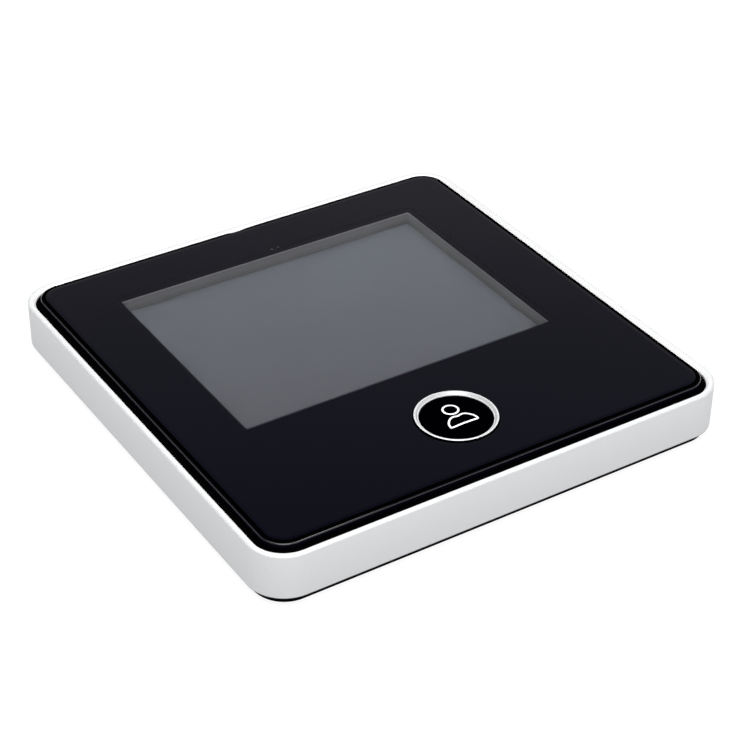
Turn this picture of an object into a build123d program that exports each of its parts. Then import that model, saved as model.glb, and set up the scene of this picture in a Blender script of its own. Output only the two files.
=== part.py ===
"""Indoor monitor of a peephole door camera, lying on its back with its face up.

All lengths are in millimetres. The origin is the middle of the back face: +X runs to the
right of the screen, +Y towards the top edge and +Z out of the face.
"""
from build123d import *
import os

os.makedirs("parts", exist_ok=True)

# Picture of the display and the borders of black round it: these size the unit
picture_width = 70.08
picture_height = 52.56
window_margin_x = 1.61
window_margin_y = 0.77
side_border = 17.35
top_border = 15.65
low_border = 38.25

# Whole unit
corner_radius = 8.0
band_height = 9.9
base_depth = 2.0
panel_rise = 0.9

# Silver frame
band_wall = 1.6
rim_rounding = 0.4
rim_chamfer_width = 0.5
rim_chamfer_depth = 0.6
band_back_rounding = 0.2
clamp_rib_offset = 3.0
clamp_rib_width = 1.1
clamp_rib_height = 1.0

# Fits between the mouldings
body_clearance = 0.1
seat_clearance = 0.2

# Front lens, its printed mask and its tape
lens_inset = 2.8
lens_thickness = 1.2
bevel_width = 1.3
bevel_height = 0.2
lip_width = 0.5
lip_run = 0.2
lens_edge_rounding = 0.35
mask_thickness = 0.1
mask_setback = 0.15
tape_thickness = 0.2
tape_margin = 0.6
window_corner_radius = 0.5
notch_reach = 3.9
notch_floor_left = 2.4
notch_floor_right = 1.0
notch_depth = 0.65
mic_hole_radius = 0.35
mic_hole_pitch = 1.6
mic_hole_x = 2.1
mic_hole_offset = 1.3
mic_duct_length = 1.5
mic_duct_radius = 0.5

# Front housing
groove_depth = 0.9
platform_inset = 3.0
deck_thickness = 1.6
skirt_wall = 1.4
window_clearance = 0.1
boss_radius = 2.8
boss_edge = 7.5
post_radius = 2.0
rib_thickness = 1.0

# View button and its ring
button_offset = 18.8
ring_radius = 8.45
ring_clearance = 0.25
ring_wall = 0.95
ring_rise = 0.45
ring_cone_width = 0.35
ring_cone_depth = 0.4
ring_ledge_width = 0.2
ring_ledge_depth = 0.5
ring_edge_rounding = 0.15
cap_clearance = 0.08
cap_recess = 0.1
cap_crown = 0.6
cap_top_thickness = 1.2
cap_edge_rounding = 0.2
cap_wall = 1.2
cap_flange_width = 0.35
cap_flange_thickness = 0.8
cap_flange_gap = 0.1
cap_lug_reach = 0.9
cap_lug_width = 2.4
cap_rib_width = 0.8
cap_stem_radius = 2.0
cap_stem_length = 1.45
button_travel = 0.3

# Push switch under the button
switch_height = 4.65
switch_width = 6.0
switch_body_height = 3.4
switch_lid_thickness = 0.5
plunger_radius = 1.7
plunger_collar_radius = 2.0
plunger_collar_height = 0.6
plunger_clearance = 0.08
plunger_gap = 0.1
plunger_spring_room = 0.6

# Display module
lcd_side_border = 3.41
lcd_top_border = 1.9
lcd_low_border = 9.44
lcd_glass_thickness = 1.3
lcd_glass_margin = 0.6
gasket_thickness = 1.2
gasket_width = 1.1
backlight_thickness = 1.8
tray_sheet = 0.25
tray_wall_height = 2.2
lcd_rib_depth = 3.4
lcd_rib_length = 6.0

# Display ribbon and its connector
ribbon_width = 18.0
ribbon_thickness = 0.2
ribbon_centre_x = -17.0
ribbon_bend_radius = 0.9
connector_width = 22.0
connector_depth = 4.2
connector_height = 1.3
connector_offset = 4.2

# Main board
board_side_gap = 12.0
board_display_gap = 0.98
board_thickness = 1.0
board_gap = 0.8
board_corner_radius = 1.5
board_screw_edge_x = 3.5
board_screw_edge_y = 3.4
board_screw_inner_x = 7.5
board_screw_inner_edge_y = 2.0
board_screw_radius = 0.95
board_screw_head_radius = 1.9
board_screw_head_height = 1.2
board_screw_length = 4.2

# Processor under its shield can
shield_width = 22.0
shield_height = 2.2
shield_sheet = 0.3
shield_edge_x = 9.5
shield_edge_y = 5.1
processor_share = 2 / 3
processor_height = 1.2
memory_width = 8.0
memory_depth = 6.0
memory_height = 1.1
memory_centre_x = -14.0

# Rear cover
plate_thickness = 1.5
cover_wall = 1.4
base_inset = 1.2
base_rounding = 0.6
screw_head_radius = 2.3
screw_head_height = 1.5
screw_recess_clearance = 0.3
screw_seat_thickness = 1.2
screw_shank_radius = 1.2
screw_length = 6.5
screw_slot_width = 0.7
screw_slot_depth = 0.6
tower_wall = 1.1
hook_edge_x = 12.0
hook_edge_y = 18.0
hook_slot_length = 12.0
hook_slot_width = 2.8
hook_pocket_height = 2.6
hook_pocket_room = 1.4
hook_pocket_lid = 0.7

# Cable bay in the rear cover
bay_side_gap = 29.0
bay_depth = 4.0
bay_floor = 1.0
bay_wall = 1.2
bay_corner_radius = 3.0
bay_mouth_chamfer = 0.5

# Sockets and the power switch at the bay's lower wall
socket_spacing = 15.0
usb_width = 7.5
usb_depth = 5.2
usb_height = 2.6
usb_sheet = 0.35
usb_tongue_width = 3.8
usb_tongue_height = 0.7
camera_socket_width = 8.6
camera_socket_depth = 5.4
camera_socket_height = 2.6
camera_socket_wall = 0.6
camera_pin_width = 0.4
camera_pin_pitch = 1.5
camera_pin_count = 4
power_switch_width = 8.6
power_switch_depth = 3.8
power_switch_height = 2.6
power_switch_wall = 0.6
slider_width = 1.8
slider_height = 1.4
slider_foot_width = 3.4
slider_foot_depth = 1.4
slider_reach = 1.8
slider_travel = 2.0
slider_clearance = 0.1

# Battery, its tape, leads and plug
battery_side_gap = 24.0
battery_top_gap = 7.6
battery_height = 30.0
battery_thickness = 3.3
battery_tape_thickness = 0.2
battery_tape_margin = 3.0
battery_edge_radius = 1.2
battery_rib_height = 2.2
battery_rib_length = 4.0
lead_radius = 0.5
lead_pitch = 1.7
lead_bend_radius = 2.0
lead_offset = 3.2
battery_lead_y = 5.0
battery_plug_width = 5.4
battery_plug_depth = 3.0
battery_socket_depth = 4.4
battery_socket_height = 2.6

# Speaker
speaker_width = 20.0
speaker_height = 30.0
speaker_rim = 1.2
speaker_frame_height = 2.0
speaker_floor = 0.6
speaker_cone_rise = 0.7
speaker_cone_taper = 35.0
speaker_cone_sheet = 0.4
speaker_gasket_thickness = 0.5
speaker_magnet_radius = 5.0
speaker_magnet_height = 1.0
speaker_bay_gap = 2.2
speaker_fence_height = 1.6
grille_hole_radius = 0.8
grille_pitch = 3.4
grille_columns = 4
grille_rows = 7

# Microphone in its rubber boot
mic_radius = 2.0
mic_height = 1.8
mic_offset_y = 2.7
boot_wall = 1.3
boot_height = 3.4
boot_channel_depth = 0.8
mic_pocket_depth = 2.0
mic_lead_offset = 2.6
mic_lead_radius = 0.5
mic_lead_bend_radius = 1.0

# Heights of the faces, from the back of the unit upwards
frame_back_z = base_depth
rim_z = frame_back_z + band_height
panel_z = rim_z + panel_rise
lens_back_z = panel_z - lens_thickness
mask_back_z = lens_back_z - mask_thickness
deck_z = mask_back_z - tape_thickness
deck_back_z = deck_z - deck_thickness
flange_z = rim_z - groove_depth
clamp_rib_z = frame_back_z + clamp_rib_offset
skirt_back_z = clamp_rib_z + clamp_rib_height
lcd_top_z = deck_back_z - gasket_thickness
glass_back_z = lcd_top_z - lcd_glass_thickness
backlight_back_z = glass_back_z - backlight_thickness
ring_top_z = panel_z + ring_rise
cap_top_z = panel_z - cap_recess
cap_under_z = cap_top_z - cap_top_thickness
flange_top_z = deck_z - cap_flange_gap
cap_back_z = flange_top_z - cap_flange_thickness
stem_back_z = cap_under_z - cap_stem_length
plunger_top_z = stem_back_z - plunger_gap
board_top_z = plunger_top_z - switch_height
board_back_z = board_top_z - board_thickness
boss_back_z = screw_head_height + screw_recess_clearance + screw_seat_thickness
battery_z = plate_thickness + battery_tape_thickness

# Sizes and places in plan
window_width = picture_width + 2 * window_margin_x
window_height = picture_height + 2 * window_margin_y
unit_width = window_width + 2 * side_border
unit_height = window_height + top_border + low_border
screen_centre_y = (low_border - top_border) / 2
button_centre_y = screen_centre_y - window_height / 2 - button_offset
mic_hole_y = screen_centre_y + window_height / 2 + mic_hole_offset
body_inset = band_wall + body_clearance
inner_inset = body_inset + cover_wall
lcd_width = picture_width + 2 * lcd_side_border
lcd_height = picture_height + lcd_top_border + lcd_low_border
lcd_centre_y = screen_centre_y + (lcd_top_border - lcd_low_border) / 2
lcd_low_y = lcd_centre_y - lcd_height / 2
board_width = unit_width - 2 * board_side_gap
board_high_y = lcd_low_y - board_display_gap
board_low_y = inner_inset + board_gap - unit_height / 2
board_height = board_high_y - board_low_y
board_centre_y = (board_high_y + board_low_y) / 2
bore_radius = ring_radius - ring_wall
cap_radius = bore_radius - cap_clearance
cap_flange_radius = cap_radius + cap_flange_width
cap_hole_radius = cap_flange_radius + seat_clearance
battery_width = unit_width - 2 * battery_side_gap
battery_centre_y = unit_height / 2 - battery_top_gap - battery_height / 2
battery_low_y = battery_centre_y - battery_height / 2
battery_lead_x = battery_width / 2 + lead_offset
bay_width = unit_width - 2 * bay_side_gap
bay_low_y = board_high_y + board_gap + bay_wall
bay_high_y = battery_low_y - seat_clearance - rib_thickness - bay_wall
bay_height = bay_high_y - bay_low_y
bay_centre_y = (bay_high_y + bay_low_y) / 2
hook_spacing_x = unit_width - 2 * hook_edge_x
hook_spacing_y = unit_height - 2 * hook_edge_y
speaker_centre_x = -(bay_width / 2 + bay_wall + speaker_bay_gap + speaker_width / 2)
deck_hole_y = mic_hole_y + mic_duct_length
mic_y = deck_hole_y + mic_offset_y
usb_x = -socket_spacing
power_switch_x = socket_spacing
socket_mouth_y = bay_low_y - bay_wall / 2

boss_points = [
    (side_x * (unit_width / 2 - boss_edge), side_y * (unit_height / 2 - boss_edge))
    for side_x in (-1, 1)
    for side_y in (-1, 1)
]
board_screw_x = board_width / 2 - board_screw_edge_x
board_screw_y = board_low_y + board_screw_edge_y
board_screw_points = [
    (-board_screw_x, board_screw_y),
    (board_screw_x, board_screw_y),
    (board_screw_inner_x, board_high_y - board_screw_inner_edge_y),
]


def unit_outline(inset, mode=Mode.ADD):
    """Rounded square of the unit, drawn in by inset on every side."""
    RectangleRounded(
        unit_width - 2 * inset, unit_height - 2 * inset, corner_radius - inset, mode=mode
    )


def window_outline(margin, mode=Mode.ADD):
    """Opening over the screen, larger than the printed window by margin all round."""
    with Locations((0, screen_centre_y)):
        RectangleRounded(
            window_width + 2 * margin,
            window_height + 2 * margin,
            window_corner_radius + margin,
            mode=mode,
        )


def notch_outline(mode=Mode.SUBTRACT):
    """Shallow nick in the panel's top edge, with a steep left end and a long right one."""
    with Locations((0, unit_height / 2 - lens_inset)):
        Polygon(
            (-notch_reach, 0),
            (-notch_floor_left, -notch_depth),
            (-notch_floor_right, -notch_depth),
            (notch_reach, 0),
            (notch_reach, lens_inset),
            (-notch_reach, lens_inset),
            align=None,
            mode=mode,
        )


def mic_holes(mode=Mode.SUBTRACT):
    """Two small holes side by side in the face, over the microphone's duct."""
    with Locations((mic_hole_x, mic_hole_y)):
        with GridLocations(mic_hole_pitch, mic_hole_pitch, 2, 1):
            Circle(mic_hole_radius, mode=mode)


def speaker_outline(margin, mode=Mode.ADD):
    """Racetrack outline of the speaker, larger by margin all round."""
    with Locations((speaker_centre_x, bay_centre_y)):
        SlotOverall(
            speaker_height + 2 * margin, speaker_width + 2 * margin, rotation=90, mode=mode
        )


def front_cut_outs(hole_clearance):
    """Button hole, microphone holes and notch, cut through every layer of the face."""
    with Locations((0, button_centre_y)):
        Circle(ring_radius + hole_clearance, mode=Mode.SUBTRACT)
    mic_holes()
    notch_outline()


# Silver frame: a sleeve with an inner rib that the two mouldings clamp
with BuildPart() as silver_frame:
    with BuildSketch(Plane.XY.offset(frame_back_z)):
        unit_outline(0)
        unit_outline(band_wall, mode=Mode.SUBTRACT)
    extrude(amount=band_height)
    fillet(silver_frame.faces().sort_by(Axis.Z)[-1].outer_wire().edges(), rim_rounding)
    rim_top = silver_frame.faces().sort_by(Axis.Z)[-1]
    rim_mouth = rim_top.inner_wires()[0].edges()
    chamfer(rim_mouth, rim_chamfer_width, rim_chamfer_depth, reference=rim_top)
    fillet(silver_frame.faces().sort_by(Axis.Z)[0].outer_wire().edges(), band_back_rounding)
    with BuildSketch(Plane.XY.offset(clamp_rib_z)):
        unit_outline(band_wall)
        unit_outline(band_wall + clamp_rib_width, mode=Mode.SUBTRACT)
    extrude(amount=clamp_rib_height)
silver_frame.part.label = "silver_frame"
export_step(silver_frame.part, "parts/silver_frame.step")

# Front housing: black moulding that carries the lens, the display and the board
with BuildPart() as front_housing:
    with BuildSketch(Plane.XY.offset(skirt_back_z)):
        unit_outline(body_inset)
        unit_outline(body_inset + skirt_wall, mode=Mode.SUBTRACT)
    extrude(amount=flange_z - skirt_back_z)
    with BuildSketch(Plane.XY.offset(deck_back_z)):
        unit_outline(body_inset)
    extrude(amount=flange_z - deck_back_z)
    with BuildSketch(Plane.XY.offset(deck_back_z)):
        unit_outline(platform_inset)
        notch_outline()
    extrude(amount=deck_thickness)

    # screw bosses and the posts of the main board
    with BuildSketch(Plane.XY.offset(boss_back_z)):
        with Locations(boss_points):
            Circle(boss_radius)
    extrude(amount=deck_back_z - boss_back_z)
    with BuildSketch(Plane.XY.offset(board_top_z)):
        with Locations(board_screw_points):
            Circle(post_radius)
    extrude(amount=deck_back_z - board_top_z)

    # corner ribs that centre the display module
    with BuildSketch(Plane.XY.offset(deck_back_z - lcd_rib_depth)):
        with Locations((0, lcd_centre_y)):
            Rectangle(
                lcd_width + 2 * (seat_clearance + rib_thickness),
                lcd_height + 2 * (seat_clearance + rib_thickness),
            )
            Rectangle(
                lcd_width + 2 * seat_clearance,
                lcd_height + 2 * seat_clearance,
                mode=Mode.SUBTRACT,
            )
            Rectangle(
                lcd_width - 2 * lcd_rib_length,
                lcd_height + 4 * (seat_clearance + rib_thickness),
                mode=Mode.SUBTRACT,
            )
            Rectangle(
                lcd_width + 4 * (seat_clearance + rib_thickness),
                lcd_height - 2 * lcd_rib_length,
                mode=Mode.SUBTRACT,
            )
    extrude(amount=lcd_rib_depth)

    # pocket of the microphone boot, open towards the display
    boot_width = 2 * (mic_radius + boot_wall)
    boot_low_y = deck_hole_y - mic_duct_radius - boot_wall / 4
    boot_high_y = mic_y + mic_radius + boot_wall
    boot_centre_y = (boot_low_y + boot_high_y) / 2
    with BuildSketch(Plane.XY.offset(deck_back_z - mic_pocket_depth)):
        with Locations((mic_hole_x, boot_high_y + seat_clearance + rib_thickness)):
            Rectangle(
                boot_width + 2 * (seat_clearance + rib_thickness),
                boot_high_y - mic_y + seat_clearance + rib_thickness,
                align=(Align.CENTER, Align.MAX),
            )
        with Locations((mic_hole_x, boot_high_y + seat_clearance)):
            Rectangle(
                boot_width + 2 * seat_clearance,
                boot_high_y - mic_y + 2 * seat_clearance,
                align=(Align.CENTER, Align.MAX),
                mode=Mode.SUBTRACT,
            )
    extrude(amount=mic_pocket_depth)

    # openings through the deck
    with BuildSketch(Plane.XY.offset(deck_back_z)):
        window_outline(tape_margin)
        with Locations((mic_hole_x, deck_hole_y)):
            Circle(mic_duct_radius)
        with Locations((0, button_centre_y)):
            Circle(cap_hole_radius)
            Rectangle(
                2 * (cap_flange_radius + cap_lug_reach + seat_clearance),
                cap_lug_width + 2 * seat_clearance,
            )
    extrude(amount=deck_thickness, mode=Mode.SUBTRACT)

    # pilot holes
    with BuildSketch(Plane.XY.offset(boss_back_z)):
        with Locations(boss_points):
            Circle(screw_shank_radius + body_clearance / 2)
    extrude(amount=screw_length, mode=Mode.SUBTRACT)
    with BuildSketch(Plane.XY.offset(board_top_z)):
        with Locations(board_screw_points):
            Circle(board_screw_radius + body_clearance / 2)
    extrude(amount=board_screw_length - board_thickness, mode=Mode.SUBTRACT)
front_housing.part.label = "front_housing"
export_step(front_housing.part, "parts/front_housing.step")

# Front lens: clear sheet with a bevelled edge
with BuildPart() as front_lens:
    with BuildSketch(Plane.XY.offset(lens_back_z)):
        unit_outline(lens_inset)
    extrude(amount=lens_thickness)
    lens_top = front_lens.faces().sort_by(Axis.Z)[-1]
    chamfer(lens_top.outer_wire().edges(), bevel_width, bevel_height, reference=lens_top)
    bevel_foot = front_lens.edges().filter_by_position(
        Axis.Z, panel_z - 3 * bevel_height / 2, panel_z - bevel_height / 2
    )
    fillet(bevel_foot, lens_edge_rounding)
    lens_top = front_lens.faces().sort_by(Axis.Z)[-1]
    chamfer(lens_top.outer_wire().edges(), lip_width, lip_run, reference=lens_top)
    with BuildSketch(Plane.XY.offset(lens_back_z)):
        with Locations((0, button_centre_y)):
            Circle(ring_radius + ring_clearance)
        mic_holes(mode=Mode.ADD)
        notch_outline(mode=Mode.ADD)
    extrude(amount=lens_thickness, mode=Mode.SUBTRACT)
front_lens.part.label = "front_lens"
export_step(front_lens.part, "parts/front_lens.step")

# Lens mask: opaque black layer behind the lens, clear over the screen
with BuildPart() as lens_mask:
    with BuildSketch(Plane.XY.offset(mask_back_z)):
        unit_outline(lens_inset + mask_setback)
        window_outline(0, mode=Mode.SUBTRACT)
        front_cut_outs(ring_clearance)
    extrude(amount=mask_thickness)
lens_mask.part.label = "lens_mask"
export_step(lens_mask.part, "parts/lens_mask.step")

# Lens tape: die-cut adhesive between the mask and the housing
with BuildPart() as lens_tape:
    with BuildSketch(Plane.XY.offset(deck_z)):
        unit_outline(platform_inset + seat_clearance)
        window_outline(tape_margin, mode=Mode.SUBTRACT)
        front_cut_outs(ring_clearance + seat_clearance)
        with Locations((mic_hole_x, mic_hole_y + mic_duct_length / 2)):
            Rectangle(
                mic_hole_pitch + 2 * mic_hole_radius,
                mic_duct_length + 2 * mic_hole_radius,
                mode=Mode.SUBTRACT,
            )
    extrude(amount=tape_thickness)
lens_tape.part.label = "lens_tape"
export_step(lens_tape.part, "parts/lens_tape.step")

# Button ring: bright collar whose conical mouth ends on a narrow ledge
with BuildPart() as button_ring:
    with BuildSketch(Plane.XY.offset(deck_z)):
        with Locations((0, button_centre_y)):
            Circle(ring_radius)
            Circle(bore_radius, mode=Mode.SUBTRACT)
    extrude(amount=ring_top_z - deck_z)
    with BuildSketch(Plane.XY.offset(ring_top_z)):
        with Locations((0, button_centre_y)):
            Circle(bore_radius + ring_ledge_width)
    extrude(amount=-ring_ledge_depth, mode=Mode.SUBTRACT)
    ring_top = button_ring.faces().sort_by(Axis.Z)[-1]
    ring_mouth = ring_top.inner_wires()[0].edges()
    ring_shoulder = ring_top.outer_wire().edges()
    chamfer(ring_mouth, ring_cone_width, ring_cone_depth, reference=ring_top)
    fillet(ring_shoulder, ring_edge_rounding)
button_ring.part.label = "button_ring"
export_step(button_ring.part, "parts/button_ring.step")

# View button: hollow domed cap held under the ring by its flange and keyed by two lugs
crown_radius = (cap_radius**2 + cap_crown**2) / (2 * cap_crown)
with BuildPart() as view_button:
    with BuildSketch(Plane.XY.offset(cap_back_z)):
        with Locations((0, button_centre_y)):
            Circle(cap_flange_radius)
            Rectangle(2 * (cap_flange_radius + cap_lug_reach), cap_lug_width)
    extrude(amount=cap_flange_thickness)
    with BuildSketch(Plane.XY.offset(cap_back_z)):
        with Locations((0, button_centre_y)):
            Circle(cap_radius)
    extrude(amount=cap_top_z + cap_crown - cap_back_z)
    with Locations((0, button_centre_y, cap_top_z + cap_crown - crown_radius)):
        Sphere(crown_radius, mode=Mode.INTERSECT)
    fillet(view_button.faces().sort_by(Axis.Z)[-1].outer_wire().edges(), cap_edge_rounding)
    with BuildSketch(Plane.XY.offset(cap_back_z)):
        with Locations((0, button_centre_y)):
            Circle(cap_radius - cap_wall)
    extrude(amount=cap_under_z - cap_back_z, mode=Mode.SUBTRACT)
    with BuildSketch(Plane.XY.offset(cap_back_z)):
        with Locations((0, button_centre_y)):
            Rectangle(2 * (cap_radius - cap_wall / 2), cap_rib_width)
            Rectangle(cap_rib_width, 2 * (cap_radius - cap_wall / 2))
    extrude(amount=cap_under_z - cap_back_z)
    with BuildSketch(Plane.XY.offset(stem_back_z)):
        with Locations((0, button_centre_y)):
            Circle(cap_stem_radius)
    extrude(amount=cap_stem_length)
view_button.part.label = "view_button"
export_step(view_button.part, "parts/view_button.step")

# Push switch: square body with a collared plunger
lid_back_z = board_top_z + switch_body_height - switch_lid_thickness
switch_cavity_depth = plunger_gap + plunger_collar_height + button_travel + plunger_spring_room
with BuildPart() as push_switch_body:
    with BuildSketch(Plane.XY.offset(board_top_z)):
        with Locations((0, button_centre_y)):
            Rectangle(switch_width, switch_width)
    extrude(amount=switch_body_height)
    with BuildSketch(Plane.XY.offset(lid_back_z - switch_cavity_depth)):
        with Locations((0, button_centre_y)):
            Circle(plunger_collar_radius + plunger_clearance)
    extrude(amount=switch_cavity_depth, mode=Mode.SUBTRACT)
    with BuildSketch(Plane.XY.offset(lid_back_z)):
        with Locations((0, button_centre_y)):
            Circle(plunger_radius + plunger_clearance)
    extrude(amount=switch_lid_thickness, mode=Mode.SUBTRACT)
push_switch_body.part.label = "push_switch_body"
export_step(push_switch_body.part, "parts/push_switch_body.step")

with BuildPart() as push_switch_plunger:
    with BuildSketch(Plane.XY.offset(lid_back_z - plunger_gap - plunger_collar_height)):
        with Locations((0, button_centre_y)):
            Circle(plunger_collar_radius)
    extrude(amount=plunger_collar_height)
    with BuildSketch(Plane.XY.offset(lid_back_z - plunger_gap)):
        with Locations((0, button_centre_y)):
            Circle(plunger_radius)
    extrude(amount=plunger_top_z - lid_back_z + plunger_gap)
push_switch_plunger.part.label = "push_switch_plunger"
export_step(push_switch_plunger.part, "parts/push_switch_plunger.step")

# Display gasket: foam frame between the housing and the display, its collar lines the window
with BuildPart() as display_gasket:
    with BuildSketch(Plane.XY.offset(lcd_top_z)):
        window_outline(window_clearance + gasket_width)
    extrude(amount=gasket_thickness)
    with BuildSketch(Plane.XY.offset(lcd_top_z)):
        window_outline(tape_margin - body_clearance / 2)
    extrude(amount=mask_back_z - lcd_top_z)
    with BuildSketch(Plane.XY.offset(lcd_top_z)):
        window_outline(window_clearance)
    extrude(amount=mask_back_z - lcd_top_z, mode=Mode.SUBTRACT)
display_gasket.part.label = "display_gasket"
export_step(display_gasket.part, "parts/display_gasket.step")

# Display module: glass, backlight and the steel tray that holds them
tray_bottom_z = backlight_back_z - tray_sheet
with BuildPart() as display_glass:
    with BuildSketch(Plane.XY.offset(glass_back_z)):
        with Locations((0, lcd_centre_y)):
            Rectangle(lcd_width - 2 * lcd_glass_margin, lcd_height - 2 * lcd_glass_margin)
    extrude(amount=lcd_glass_thickness)
display_glass.part.label = "display_glass"
export_step(display_glass.part, "parts/display_glass.step")

with BuildPart() as display_backlight:
    with BuildSketch(Plane.XY.offset(backlight_back_z)):
        with Locations((0, lcd_centre_y)):
            Rectangle(lcd_width - 2 * lcd_glass_margin, lcd_height - 2 * lcd_glass_margin)
    extrude(amount=backlight_thickness)
display_backlight.part.label = "display_backlight"
export_step(display_backlight.part, "parts/display_backlight.step")

with BuildPart() as display_tray:
    with BuildSketch(Plane.XY.offset(tray_bottom_z)):
        with Locations((0, lcd_centre_y)):
            Rectangle(lcd_width, lcd_height)
    extrude(amount=tray_sheet + tray_wall_height)
    with BuildSketch(Plane.XY.offset(backlight_back_z)):
        with Locations((0, lcd_centre_y)):
            Rectangle(lcd_width - 2 * tray_sheet, lcd_height - 2 * tray_sheet)
    extrude(amount=tray_wall_height, mode=Mode.SUBTRACT)
    with BuildSketch(Plane.XZ.offset(-lcd_low_y - tray_sheet)):
        with Locations((ribbon_centre_x, glass_back_z - backlight_thickness / 2)):
            Rectangle(ribbon_width + 2 * seat_clearance, 4 * tray_wall_height)
    extrude(amount=2 * tray_sheet, mode=Mode.SUBTRACT)
display_tray.part.label = "display_tray"
export_step(display_tray.part, "parts/display_tray.step")

# Display ribbon: flat cable that steps down from the glass to its connector
connector_high_y = board_high_y - connector_offset + connector_depth / 2
ribbon_start = (lcd_low_y + lcd_glass_margin, glass_back_z + ribbon_thickness)
ribbon_end = (connector_high_y, board_top_z + connector_height / 2)
with BuildPart() as display_ribbon:
    with BuildSketch(Plane.YZ.offset(ribbon_centre_x - ribbon_width / 2)):
        with BuildLine():
            FilletPolyline(
                ribbon_start,
                (lcd_low_y - board_gap, ribbon_start[1]),
                (connector_high_y + board_gap, ribbon_end[1]),
                ribbon_end,
                radius=ribbon_bend_radius,
            )
        trace(line_width=ribbon_thickness)
    extrude(amount=ribbon_width)
display_ribbon.part.label = "display_ribbon"
export_step(display_ribbon.part, "parts/display_ribbon.step")

with BuildPart() as ribbon_connector:
    with BuildSketch(Plane.XY.offset(board_top_z)):
        with Locations((ribbon_centre_x, connector_high_y - connector_depth / 2)):
            Rectangle(connector_width, connector_depth)
    extrude(amount=connector_height)
    chamfer(
        ribbon_connector.edges().group_by(Axis.Z)[-1].filter_by(Axis.X).sort_by(Axis.Y)[0],
        connector_height / 2,
    )
ribbon_connector.part.label = "ribbon_connector"
export_step(ribbon_connector.part, "parts/ribbon_connector.step")

# Main board with its three screws
with BuildPart() as main_board:
    with BuildSketch(Plane.XY.offset(board_back_z)):
        with Locations((0, board_centre_y)):
            RectangleRounded(board_width, board_height, board_corner_radius)
        with Locations(board_screw_points):
            Circle(board_screw_radius + seat_clearance, mode=Mode.SUBTRACT)
    extrude(amount=board_thickness)
main_board.part.label = "main_board"
export_step(main_board.part, "parts/main_board.step")

with BuildPart() as board_screws:
    with BuildSketch(Plane.XY.offset(board_back_z)):
        with Locations(board_screw_points):
            Circle(board_screw_head_radius)
    extrude(amount=-board_screw_head_height)
    with BuildSketch(Plane.XY.offset(board_back_z)):
        with Locations(board_screw_points):
            Circle(board_screw_radius)
    extrude(amount=board_screw_length)
    with BuildSketch(Plane.XY.offset(board_back_z - board_screw_head_height)):
        with Locations(board_screw_points):
            Rectangle(2 * board_screw_radius, screw_slot_width)
            Rectangle(screw_slot_width, 2 * board_screw_radius)
    extrude(amount=screw_slot_depth, mode=Mode.SUBTRACT)
board_screws.part.label = "board_screws"
export_step(board_screws.part, "parts/board_screws.step")

# Processor, the can that shields it and the memory beside the switch
shield_depth = board_height - 2 * shield_edge_y
shield_centre_x = board_width / 2 - shield_edge_x - shield_width / 2
processor_size = processor_share * shield_depth
with BuildPart() as shield_can:
    with BuildSketch(Plane.XY.offset(board_top_z)):
        with Locations((shield_centre_x, board_centre_y)):
            Rectangle(shield_width, shield_depth)
    extrude(amount=shield_height)
    with BuildSketch(Plane.XY.offset(board_top_z)):
        with Locations((shield_centre_x, board_centre_y)):
            Rectangle(shield_width - 2 * shield_sheet, shield_depth - 2 * shield_sheet)
    extrude(amount=shield_height - shield_sheet, mode=Mode.SUBTRACT)
shield_can.part.label = "shield_can"
export_step(shield_can.part, "parts/shield_can.step")

with BuildPart() as processor_chip:
    with BuildSketch(Plane.XY.offset(board_top_z)):
        with Locations((shield_centre_x, board_centre_y)):
            Rectangle(processor_size, processor_size)
    extrude(amount=processor_height)
processor_chip.part.label = "processor_chip"
export_step(processor_chip.part, "parts/processor_chip.step")

with BuildPart() as memory_chip:
    with BuildSketch(Plane.XY.offset(board_top_z)):
        with Locations((memory_centre_x, board_low_y + shield_edge_y + memory_depth / 2)):
            Rectangle(memory_width, memory_depth)
    extrude(amount=memory_height)
memory_chip.part.label = "memory_chip"
export_step(memory_chip.part, "parts/memory_chip.step")


def charging_outline(inset, mode=Mode.ADD):
    """Section of the charging socket: a flat box with its two back corners cut off."""
    half_width = usb_width / 2 - inset
    half_height = usb_height / 2 - inset
    corner = usb_height / 3
    with Locations((usb_x, board_back_z - usb_height / 2)):
        Polygon(
            (-half_width, half_height),
            (-half_width, corner - half_height),
            (corner - half_width, -half_height),
            (half_width - corner, -half_height),
            (half_width, corner - half_height),
            (half_width, half_height),
            align=None,
            mode=mode,
        )


# Charging socket: folded steel shell around a tongue
with BuildPart() as charging_socket:
    with BuildSketch(Plane.XZ.offset(-socket_mouth_y)):
        charging_outline(0)
    extrude(amount=usb_depth)
    with BuildSketch(Plane.XZ.offset(-socket_mouth_y)):
        charging_outline(usb_sheet)
    extrude(amount=usb_depth - usb_sheet, mode=Mode.SUBTRACT)
charging_socket.part.label = "charging_socket"
export_step(charging_socket.part, "parts/charging_socket.step")

with BuildPart() as charging_tongue:
    with BuildSketch(Plane.XZ.offset(-socket_mouth_y + usb_depth - usb_sheet)):
        with Locations((usb_x, board_back_z - usb_height / 2)):
            Rectangle(usb_tongue_width, usb_tongue_height)
    extrude(amount=usb_sheet - usb_depth + usb_tongue_height)
charging_tongue.part.label = "charging_tongue"
export_step(charging_tongue.part, "parts/charging_tongue.step")

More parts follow.
